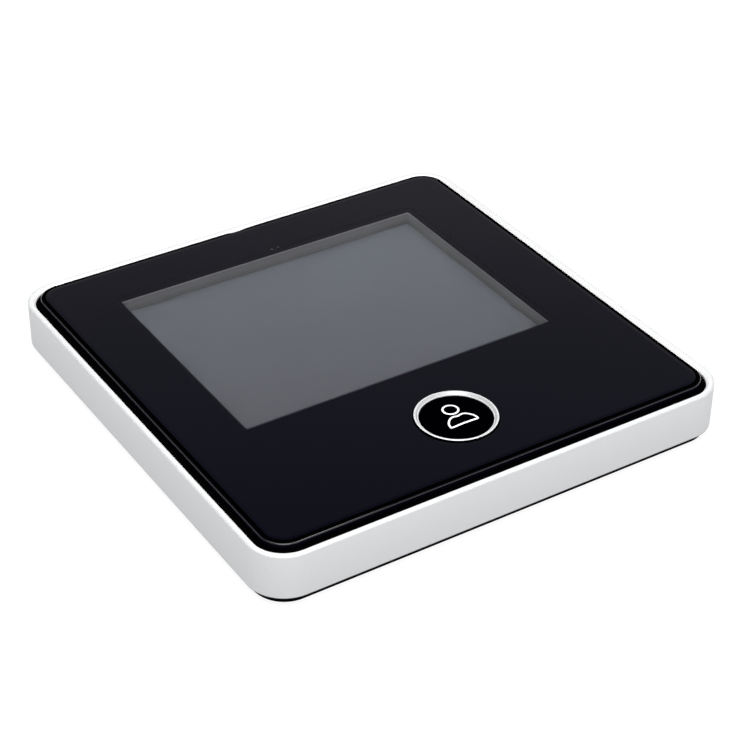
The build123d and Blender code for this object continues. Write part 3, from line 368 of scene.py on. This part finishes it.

# Satin silver plating on the ring's face, a shade darker on its conical mouth. Its outer wall is
# painted shade: black, without metal and with hardly any sheen
plating, tree, place = new_finish("satin_silver_plating")
about_axis = put(
    tree,
    "ShaderNodeMapping",
    {"Vector": place, "Location": (0, -button_y, 0), "Scale": (1, 1, 0)},
)
radius = put(tree, "ShaderNodeVectorMath", {0: about_axis}, operation="LENGTH")
cone = mask(
    tree, (radius, "GREATER_THAN", cone_radii[0]), (radius, "LESS_THAN", cone_radii[1])
)
# Painted shade: the ring's outer wall is black
shaded_wall = mask(tree, (radius, "GREATER_THAN", ring_wall_radius))
look = grain_look(tree, place, grain_mm=0.3, rough=(0.3, 0.4), tones=("#D8D9DA", "#E2E2E3"))
look["Base Color"] = painted(tree, look["Base Color"], (cone, "#C8C9CA"), (shaded_wall, "#030304"))
# The painted shade on the wall also takes away the metal and most of the sheen
for socket, on_face, on_shaded_wall in (("Metallic", 0.35, 0.0), ("Specular IOR Level", 0.5, 0.05)):
    change = {0: shaded_wall, 1: on_shaded_wall - on_face, 2: on_face}
    look[socket] = put(tree, "ShaderNodeMath", change, operation="MULTIPLY_ADD")
surface(tree, look)
dress(plating, "button_ring")

# Black moulding of the button cap: deep black and smooth, and too dark to show any glare
cap_black = grained(
    "silky_black_moulding",
    ("#000001", "#010102"),
    rough=(0.2, 0.3),
    grain_mm=0.5,
    relief_mm=0.0002,
    more={"Specular IOR Level": 0.0},
)
dress(cap_black, "view_button")

# Liquid crystal panel that is off: matt polariser, grey, with painted light that makes it brighter
# and a little bluer across the picture towards the top edge and the right
polariser, tree, place = new_finish("matt_polariser_panel")
light_drift_way = (0.4, 1.0, 0.0)
light_drift_reach = (-31 * MM, 53 * MM)
along = put(tree, "ShaderNodeVectorMath", {0: place, 1: light_drift_way}, operation="DOT_PRODUCT")
# Painted light: the tones brighten towards the top edge and the right
lit_cell_tones = drifting(tree, along, *light_drift_reach, ("#57585F", "#656970"), ("#5D5E65", "#6B6F77"))
look = grain_look(tree, place, grain_mm=0.15, rough=(0.16, 0.24), tones=lit_cell_tones, detail=2.0)
past_window = outside_rectangle(tree, place, (0.0, window_y), window_size)
picture = mask(tree, (past_window, "LESS_THAN", 0.0))
look["Base Color"] = painted(tree, "#57585E", (picture, look["Base Color"]))
surface(tree, look)
dress(polariser, "display_glass")

# White moulded frame and diffuser of the backlight: bright and half glossy
white_moulding = grained(
    "white_diffuser_moulding",
    ("#D8D8D4", "#E6E6E2"),
    rough=(0.35, 0.5),
    grain_mm=0.5,
    relief_mm=0.002,
    more={"IOR": 1.53},
)
dress(white_moulding, "display_backlight")

# Stamped stainless sheet with its rolling lines: a warm grey sheen drawn out across the tray
stamped_steel = grained(
    "stamped_stainless_sheet",
    ("#B9B8B5", "#C9C8C5"),
    rough=(0.25, 0.42),
    grain_mm=0.15,
    relief_mm=0.001,
    more={"Metallic": 1.0},
    stretch=(0.06, 1.0, 1.0),
)
dress(stamped_steel, "display_tray")

# Tinned sheet of the shield can, the charging shell and the switch shell: bright, faintly mottled
tinned_steel = grained(
    "tinned_steel_sheet",
    ("#C6C5C0", "#D6D5D0"),
    rough=(0.22, 0.36),
    grain_mm=0.35,
    relief_mm=0.001,
    more={"Metallic": 1.0},
)
dress(tinned_steel, "shield_can", "charging_socket", "power_switch_body")

# Polyimide film over copper: amber, with the copper's lines showing along it
flexible_film, tree, place = new_finish("amber_polyimide_film")
film_wave = 0.5 * MM
wave_factor = 20  # what the wave texture multiplies its scale by
copper_lines = put(
    tree,
    "ShaderNodeTexWave",
    {"Vector": place, "Scale": 1 / (wave_factor * film_wave), "Distortion": 0.0},
    wave_type="BANDS",
    bands_direction="X",
).outputs["Fac"]
film_rough = {"Value": copper_lines, **GRAIN_SPREAD, "To Min": 0.28, "To Max": 0.4}
surface(
    tree,
    {
        "Base Color": painted(tree, "#B4641E", (copper_lines, "#D38A3A")),
        "Roughness": put(tree, "ShaderNodeMapRange", film_rough),
    },
)
dress(flexible_film, "display_ribbon")

# Natural nylon: warm white and slightly waxy
natural_nylon = grained(
    "natural_nylon_moulding",
    ("#D9D2BE", "#E6E0CE"),
    rough=(0.38, 0.5),
    grain_mm=0.3,
    relief_mm=0.002,
    more={"IOR": 1.53},
)
dress(natural_nylon, "ribbon_connector", "camera_socket", "battery_socket", "battery_plug")

# Circuit board: green solder mask, slightly raised over the copper tracks. The tracks are the
# rings round the cells of a pattern of squares
board, tree, place = new_finish("green_solder_mask")
track_cell = 2.2 * MM
track_repeats = 6.0
track_gap_share = 0.55
cells = put(
    tree,
    "ShaderNodeTexVoronoi",
    {"Vector": place, "Scale": 1 / track_cell, "Randomness": 0.6},
    distance="CHEBYCHEV",
    feature="F1",
)
rings = put(tree, "ShaderNodeMath", {0: cells, 1: track_repeats}, operation="MULTIPLY")
rings = put(tree, "ShaderNodeMath", {0: rings, 1: 1.0}, operation="PINGPONG")
copper = mask(tree, (rings, "GREATER_THAN", track_gap_share))
track_relief = {"Height": copper, "Strength": 0.5, "Distance": 0.03 * MM}
surface(
    tree,
    {
        "Base Color": painted(tree, "#0C4A2A", (copper, "#1B6B3F")),
        "Normal": put(tree, "ShaderNodeBump", track_relief),
        "Roughness": 0.32,
    },
)
dress(board, "main_board")

# Zinc-plated screws: pale grey metal with a fine tumbled grain
zinc_plating = grained(
    "zinc_plated_steel",
    ("#A7A9AC", "#BFC1C3"),
    rough=(0.25, 0.4),
    grain_mm=0.25,
    relief_mm=0.002,
    more={"Metallic": 1.0},
)
dress(zinc_plating, "board_screws")

# Case screws in black zinc: dark metal that still shines
black_zinc = grained(
    "black_zinc_steel",
    ("#2A2A2C", "#3A3A3D"),
    rough=(0.28, 0.42),
    grain_mm=0.25,
    relief_mm=0.003,
    more={"Metallic": 1.0},
)
dress(black_zinc, "case_screws")

# Epoxy chip packages: charcoal and matt, with a sandy surface
chip_epoxy = grained(
    "moulded_epoxy_package",
    ("#161617", "#222223"),
    rough=(0.5, 0.68),
    grain_mm=0.12,
    relief_mm=0.004,
)
dress(chip_epoxy, "processor_chip", "memory_chip")

# Heat-proof plastic of the tongue, the push switch and the speaker basket: black, half matt
switch_plastic = grained(
    "black_switch_plastic",
    ("#121213", "#1D1D1F"),
    rough=(0.4, 0.52),
    grain_mm=0.2,
    relief_mm=0.003,
    more={"IOR": 1.55},
)
dress(
    switch_plastic,
    "charging_tongue",
    "push_switch_body",
    "push_switch_plunger",
    "power_switch_slider",
    "speaker_frame",
)

# Gold-flashed brass pins: bright yellow metal
gold_brass = grained(
    "gold_flashed_brass",
    ("#D9B15A", "#E6C477"),
    rough=(0.2, 0.3),
    grain_mm=0.15,
    relief_mm=0.001,
    more={"Metallic": 1.0},
)
dress(gold_brass, "camera_socket_pins")

# Laminated foil pouch: soft silver with shallow creases
foil_pouch = grained(
    "laminated_foil_pouch",
    ("#B4B6BA", "#CDCFD2"),
    rough=(0.3, 0.48),
    grain_mm=2.6,
    relief_mm=0.12,
    more={"Metallic": 1.0},
    detail=5.0,
)
dress(foil_pouch, "battery_cell")

# Double-sided tape under the battery: pale paper, dull
tape_strip = grained(
    "double_sided_tape", ("#C9C6BC", "#DEDBD2"), rough=(0.5, 0.7), grain_mm=0.8, relief_mm=0.01
)
dress(tape_strip, "battery_tape")


def wires(name, middle_x):
    """Insulation of two wires side by side: red on the left of middle_x and black on its right."""
    material, tree, place = new_finish(name)
    across = put(tree, "ShaderNodeSeparateXYZ", {0: place}).outputs["X"]
    right = mask(tree, (across, "GREATER_THAN", middle_x))
    look = grain_look(tree, place, grain_mm=0.3, rough=(0.35, 0.5))
    surface(tree, {**look, "Base Color": painted(tree, "#B01516", (right, "#141414"))})
    return material


# Insulated wires: soft plastic with a low shine, a red and a black one to each device
dress(wires("battery_wire_insulation", battery_wires_x), "battery_leads")
dress(wires("speaker_wire_insulation", speaker_wires_x), "speaker_leads")

# Pressed paper cone: black and fibrous
pressed_paper = grained(
    "pressed_black_paper", ("#17171A", "#26262A"), rough=(0.75, 0.9), grain_mm=0.25, relief_mm=0.02
)
dress(pressed_paper, "speaker_cone")

# Nickel-plated magnet and microphone can: warm silver, smooth
nickel_plating = grained(
    "nickel_plating",
    ("#BDBBB4", "#CFCDC6"),
    rough=(0.2, 0.32),
    grain_mm=0.3,
    relief_mm=0.001,
    more={"Metallic": 1.0},
)
dress(nickel_plating, "speaker_magnet", "microphone")

# Soft black rubber of the boot and the microphone's lead: dull, with a fine skin
boot_rubber = grained(
    "soft_black_rubber", ("#17171A", "#222225"), rough=(0.6, 0.75), grain_mm=0.2, relief_mm=0.008
)
dress(boot_rubber, "microphone_boot", "microphone_lead")

# The cap's dome and the print of the pictogram on it, in millimetres about the button's axis.
# The print is sunk a little in the dome and stands a little above it
cap_radius = 7.42
cap_crown = 0.6
print_lifts = (-0.02, 0.02)
stroke_width = 0.42
head_centre = (0.0, 2.07)
head_radius = 1.57
neck_point = [(0.0, -0.5)]
base_line = [(-1.6, -2.96), (0.0, -2.96), (1.6, -2.96)]
right_side = [(2.9, -2.95), (3.16, -2.75), (3.12, -2.25), (2.87, -1.6)]
right_side += [(2.2, -0.8), (1.4, -0.33), (0.7, -0.34)]
left_side = [(-x, y) for x, y in reversed(right_side)]


def circle(centre, radius, count):
    """Points round a circle: its centre plus the radius along each of count even turns."""
    turns = np.linspace(0, 2 * math.pi, count, endpoint=False)
    x, y = centre
    return np.column_stack([x + radius * np.cos(turns), y + radius * np.sin(turns)])


def smooth_loop(points, steps):
    """Closed Catmull-Rom curve with steps samples to each span: a cubic from one point to the
    next, whose slope at a point is half the way between the points on either side of it."""
    points = np.asarray(points, float)
    before, after, later = (np.roll(points, -shift, axis=0) for shift in (-1, 1, 2))
    t = (np.arange(steps) / steps)[None, :, None]
    a, b, c, d = (p[:, None, :] for p in (before, points, after, later))
    curve = 0.5 * (
        2 * b + (c - a) * t + (2 * a - 5 * b + 4 * c - d) * t**2 + (3 * b - a - 3 * c + d) * t**3
    )
    return curve.reshape(-1, 2)


def closed_grid(name, rings, material):
    """Mesh from rings of points, shape (turns, around, 3), closed both ways round."""
    turns, around, _ = rings.shape
    mesh = bpy.data.meshes.new(name)
    i, j = np.meshgrid(np.arange(turns), np.arange(around), indexing="ij")
    i2, j2 = (i + 1) % turns, (j + 1) % around
    quads = np.stack([i * around + j, i2 * around + j, i2 * around + j2, i * around + j2], -1)
    mesh.from_pydata(rings.reshape(-1, 3).tolist(), [], quads.reshape(-1, 4).tolist())
    mesh.materials.append(material)
    piece = bpy.data.objects.new(name, mesh)
    bpy.context.scene.collection.objects.link(piece)
    return piece


def dome_height(points):
    """Height of the cap's dome over points about its axis: the top of a ball whose segment of
    the cap's radius is as high as the crown."""
    ball = (cap_radius**2 + cap_crown**2) / (2 * cap_crown)
    return cap_high.z / MM - ball + np.sqrt(ball**2 - np.sum(points**2, axis=1))


def printed_stroke(name, path, material):
    """Band of ink along a closed path on the dome: each path point is moved half a width along
    the path's normal to both sides, once sunk in the dome and once above it."""
    tangent = np.roll(path, -1, axis=0) - np.roll(path, 1, axis=0)
    tangent /= np.linalg.norm(tangent, axis=1, keepdims=True)
    half = np.stack([tangent[:, 1], -tangent[:, 0]], -1) * stroke_width / 2
    low, high = print_lifts
    edges = ((path - half, low), (path - half, high), (path + half, high), (path + half, low))
    rings = [np.column_stack([edge, dome_height(edge) + lift]) for edge, lift in edges]
    rings = np.stack(rings, 1)
    rings[..., 1] += button_y / MM
    return closed_grid(name, rings * MM, material)


# Pad-printed ink of the person pictogram on the cap: clean white, dull
white_ink = grained(
    "white_pad_print", ("#E9E9E9", "#F4F4F4"), rough=(0.45, 0.6), grain_mm=0.1, relief_mm=0.002
)
head = circle(head_centre, head_radius, count=96)
shoulders = smooth_loop(base_line + right_side + neck_point + left_side, steps=8)
for name, path in (("pictogram_head", head), ("pictogram_shoulders", shoulders)):
    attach(printed_stroke(name, path, white_ink), "view_button")

# Floor: a pale smooth studio table, a hair below the unit's back so that their faces don't meet
floor_radius = 3.0
floor_drop = 0.2 * MM
floor_rim = np.pad(circle((0.0, 0.0), floor_radius, count=128), ((0, 0), (0, 1)))
floor_mesh = bpy.data.meshes.new("studio_floor")
floor_mesh.from_pydata(floor_rim.tolist(), [], [list(range(len(floor_rim)))])
floor = bpy.data.objects.new("studio_floor", floor_mesh)
bpy.context.scene.collection.objects.link(floor)
floor.location.z = -floor_drop
opal = grained(
    "opal_light_table",
    ("#646464", "#686868"),
    rough=(0.85, 0.95),
    grain_mm=3.0,
    relief_mm=0.01,
    more={"Specular IOR Level": 0.0, "Emission Color": "#FFFFFF", "Emission Strength": 0.9},
)
floor_mesh.materials.append(opal)

# Sky of the studio: pale at the horizon, dark above it, so the gloss stays black, and dark to
# the left, so the left side is darker than the near one
sky_levels = (
    (0.0, 0.4), (0.3, 0.4), (0.46, 0.27), (0.54, 0.13), (0.62, 0.07), (0.7, 0.02), (0.8, 0.0)
)
dark_left = {"From Min": -0.85, "From Max": -0.45}
world = bpy.data.worlds.new("studio_sky")
bpy.context.scene.world = world
world.use_nodes = True
tree = world.node_tree
tree.nodes.clear()
direction = put(tree, "ShaderNodeTexCoord").outputs["Generated"]
parts = put(tree, "ShaderNodeSeparateXYZ", {0: direction})
sky = put(
    tree,
    "ShaderNodeValToRGB",
    {"Fac": parts.outputs["Z"]},
    stops=[(stop, (level, level, level, 1.0)) for stop, level in sky_levels],
)
strength = put(tree, "ShaderNodeMapRange", {"Value": parts.outputs["X"], **dark_left})
background = put(tree, "ShaderNodeBackground", {"Color": sky, "Strength": strength})
put(tree, "ShaderNodeOutputWorld", {"Surface": background})


def soft_light(name, place, size, radiance, aim=(0.0, 0.0, 0.0)):
    """Rectangular soft light, turned by the angles of aim. Its power is its radiance times pi
    times its area."""
    light = bpy.data.lights.new(name, "AREA")
    light.shape = "RECTANGLE"
    light.size, light.size_y = size
    light.energy = radiance * math.pi * size[0] * size[1]
    lamp = bpy.data.objects.new(name, light)
    lamp.location = place
    lamp.rotation_euler = aim
    bpy.context.scene.collection.objects.link(lamp)


# One large soft box overhead, and a lower soft light on the camera's side, which is aimed at the
# unit and models the band's corners
soft_light("overhead_soft_box", place=(-0.2, -0.35, 2.6), size=(2.9, 2.9), radiance=5.6)
front_place = Vector((-0.7, -1.1, 0.72))
front_aim = front_place.to_track_quat("Z", "Y").to_euler()
soft_light(
    "front_soft_light", place=front_place, size=(1.2, 0.8), radiance=2.75, aim=front_aim
)

# Camera at the photograph's place, aimed at a point of the floor near the unit's centre. Its
# angles, in degrees from +X and above the floor, and its distance come from the edges measured
# in the photograph
camera_target = (4.37 * MM, 1.66 * MM, 0.0)
camera_distance = 433.87 * MM
camera_azimuth = -123.017
camera_elevation = 34.515
camera_roll = 0.722
camera_data = bpy.data.cameras.new("photo_camera")
camera_data.sensor_width = 36.0
camera_data.lens = 97.664
camera_data.clip_start = 0.01
camera = bpy.data.objects.new("photo_camera", camera_data)
camera.matrix_world = (
    Matrix.Translation(camera_target)
    @ Matrix.Rotation(math.radians(camera_azimuth + 90), 4, "Z")
    @ Matrix.Rotation(math.radians(90 - camera_elevation), 4, "X")
    @ Matrix.Rotation(math.radians(camera_roll), 4, "Z")
    @ Matrix.Translation((0.0, 0.0, camera_distance))
)
bpy.context.scene.collection.objects.link(camera)
bpy.context.scene.camera = camera
bpy.context.scene.view_settings.view_transform = "Standard"
